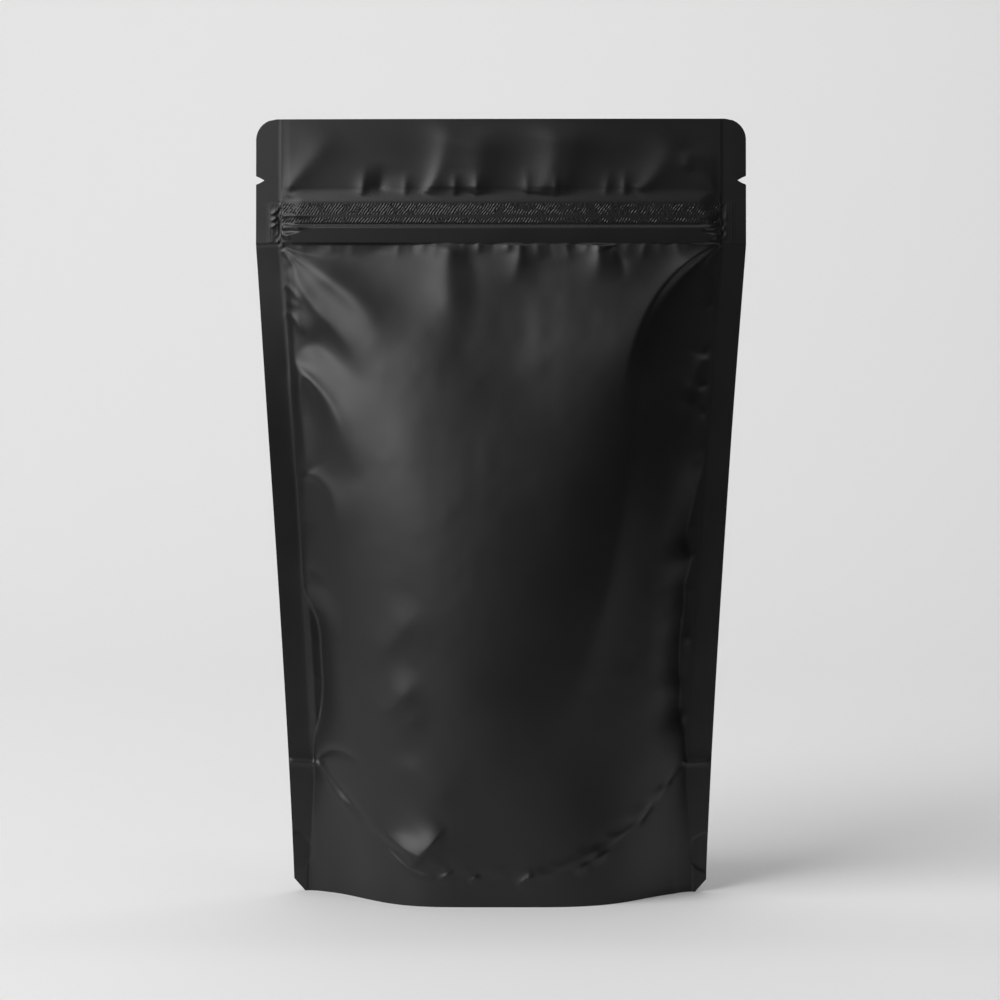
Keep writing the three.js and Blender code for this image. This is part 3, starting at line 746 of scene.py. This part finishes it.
def film_material():
    """Matte black film: nearly even, with a soft clouding of the gloss and a very fine grain."""
    material = bpy.data.materials.new("black_film")
    material.use_nodes = True
    nodes, links = material.node_tree.nodes, material.node_tree.links
    shader = nodes["Principled BSDF"]
    shader.inputs["Specular IOR Level"].default_value = SPECULAR
    place = nodes.new("ShaderNodeTexCoord").outputs["Object"]

    clouds = nodes.new("ShaderNodeTexNoise")
    clouds.inputs["Scale"].default_value = CLOUD_SCALE
    clouds.inputs["Detail"].default_value = 4.0
    links.new(place, clouds.inputs["Vector"])
    gloss = nodes.new("ShaderNodeMapRange")
    gloss.inputs["From Min"].default_value = 0.3
    gloss.inputs["From Max"].default_value = 0.7
    gloss.inputs["To Min"].default_value = GLOSSIEST
    gloss.inputs["To Max"].default_value = DULLEST
    links.new(clouds.outputs["Fac"], gloss.inputs["Value"])
    links.new(gloss.outputs["Result"], shader.inputs["Roughness"])

    tint = nodes.new("ShaderNodeValToRGB")
    tint.color_ramp.elements[0].color = DARK_FILM
    tint.color_ramp.elements[1].color = PALE_FILM
    links.new(clouds.outputs["Fac"], tint.inputs["Fac"])
    links.new(tint.outputs["Color"], shader.inputs["Base Color"])

    grain = nodes.new("ShaderNodeTexNoise")
    grain.inputs["Scale"].default_value = GRAIN_SCALE
    grain.inputs["Detail"].default_value = 2.0
    links.new(place, grain.inputs["Vector"])
    bump = nodes.new("ShaderNodeBump")
    bump.inputs["Strength"].default_value = 0.25
    bump.inputs["Distance"].default_value = GRAIN_DEPTH
    links.new(grain.outputs["Fac"], bump.inputs["Height"])
    links.new(bump.outputs["Normal"], shader.inputs["Normal"])
    return material


# ---------------------------------------------------------------- camera, floor and light
CAMERA_DISTANCE = 1.25
CAMERA_TILT = 4.133
LENS_PIXELS = 4017.1
SENSOR = 36.0
PHOTO_SIZE = 1000
AIM_HEIGHT = 0.12283

# Each light: name, place, aim, size, power
LIGHTS = [
    ("key", (-1.39, -1.05, 1.165), (0, 0, 0.12), (1.7, 1.5), 46),
    ("overhead", (0, 0.3, 2.4), (0, 0.3, 0), (2.6, 2.2), 25),
    ("backdrop", (0, 0.9, 2.3), (0, 2.2, 0.7), (2.6, 0.6), 15.5),
]
ROOM_COLOUR = (0.9, 0.9, 0.9, 1)
ROOM_LIGHT = 0.015

# The pale sweep, in metres
SWEEP_COLOUR = (0.76, 0.76, 0.76, 1)
SWEEP_HALF_WIDTH = 0.62
SWEEP_FRONT = -0.22
SWEEP_BACK = 0.6
SWEEP_RADIUS = 1.2
SWEEP_TOP = 2.4
SWEEP_STEPS = 16


def make_camera():
    tilt = math.radians(CAMERA_TILT)
    data = bpy.data.cameras.new("camera")
    data.sensor_width = SENSOR
    data.lens = LENS_PIXELS / PHOTO_SIZE * SENSOR
    camera = bpy.data.objects.new("camera", data)
    camera.location = (0, -CAMERA_DISTANCE * math.cos(tilt), AIM_HEIGHT + CAMERA_DISTANCE * math.sin(tilt))
    camera.rotation_euler = (math.pi / 2 - tilt, 0, 0)
    bpy.context.scene.collection.objects.link(camera)
    bpy.context.scene.camera = camera


def area_light(name, place, target, size, power):
    data = bpy.data.lights.new(name, "AREA")
    data.shape = "RECTANGLE"
    data.size, data.size_y = size
    data.energy = power
    light = bpy.data.objects.new(name, data)
    light.location = place
    aim = Vector(target) - Vector(place)
    light.rotation_euler = aim.to_track_quat("-Z", "Y").to_euler()
    bpy.context.scene.collection.objects.link(light)


def make_floor():
    material = bpy.data.materials.new("sweep")
    material.use_nodes = True
    shader = material.node_tree.nodes["Principled BSDF"]
    shader.inputs["Base Color"].default_value = SWEEP_COLOUR
    shader.inputs["Roughness"].default_value = 0.9
    profile = [(SWEEP_FRONT, 0.0), (SWEEP_BACK, 0.0)]
    for i in range(1, SWEEP_STEPS + 1):
        angle = math.pi / 2 * i / SWEEP_STEPS
        profile.append((SWEEP_BACK + SWEEP_RADIUS * math.sin(angle), SWEEP_RADIUS * (1 - math.cos(angle))))
    profile.append((SWEEP_BACK + SWEEP_RADIUS, SWEEP_TOP))
    points = np.array([[side * SWEEP_HALF_WIDTH, y, z] for y, z in profile for side in (-1, 1)]) / MM
    index = np.arange(len(points)).reshape(-1, 2)
    sweep = make_object("sweep", points, quads(index).tolist(), material)


def make_lights():
    for light in LIGHTS:
        area_light(*light)
    world = bpy.data.worlds.new("room")
    world.use_nodes = True
    background = world.node_tree.nodes["Background"]
    background.inputs["Color"].default_value = ROOM_COLOUR
    background.inputs["Strength"].default_value = ROOM_LIGHT
    bpy.context.scene.world = world


make_camera()
make_floor()
make_lights()
pouch = pouch_mesh(film_material())
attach(pouch, "root")
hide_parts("pouch")

view = bpy.context.scene.view_settings
view.view_transform = "Standard"
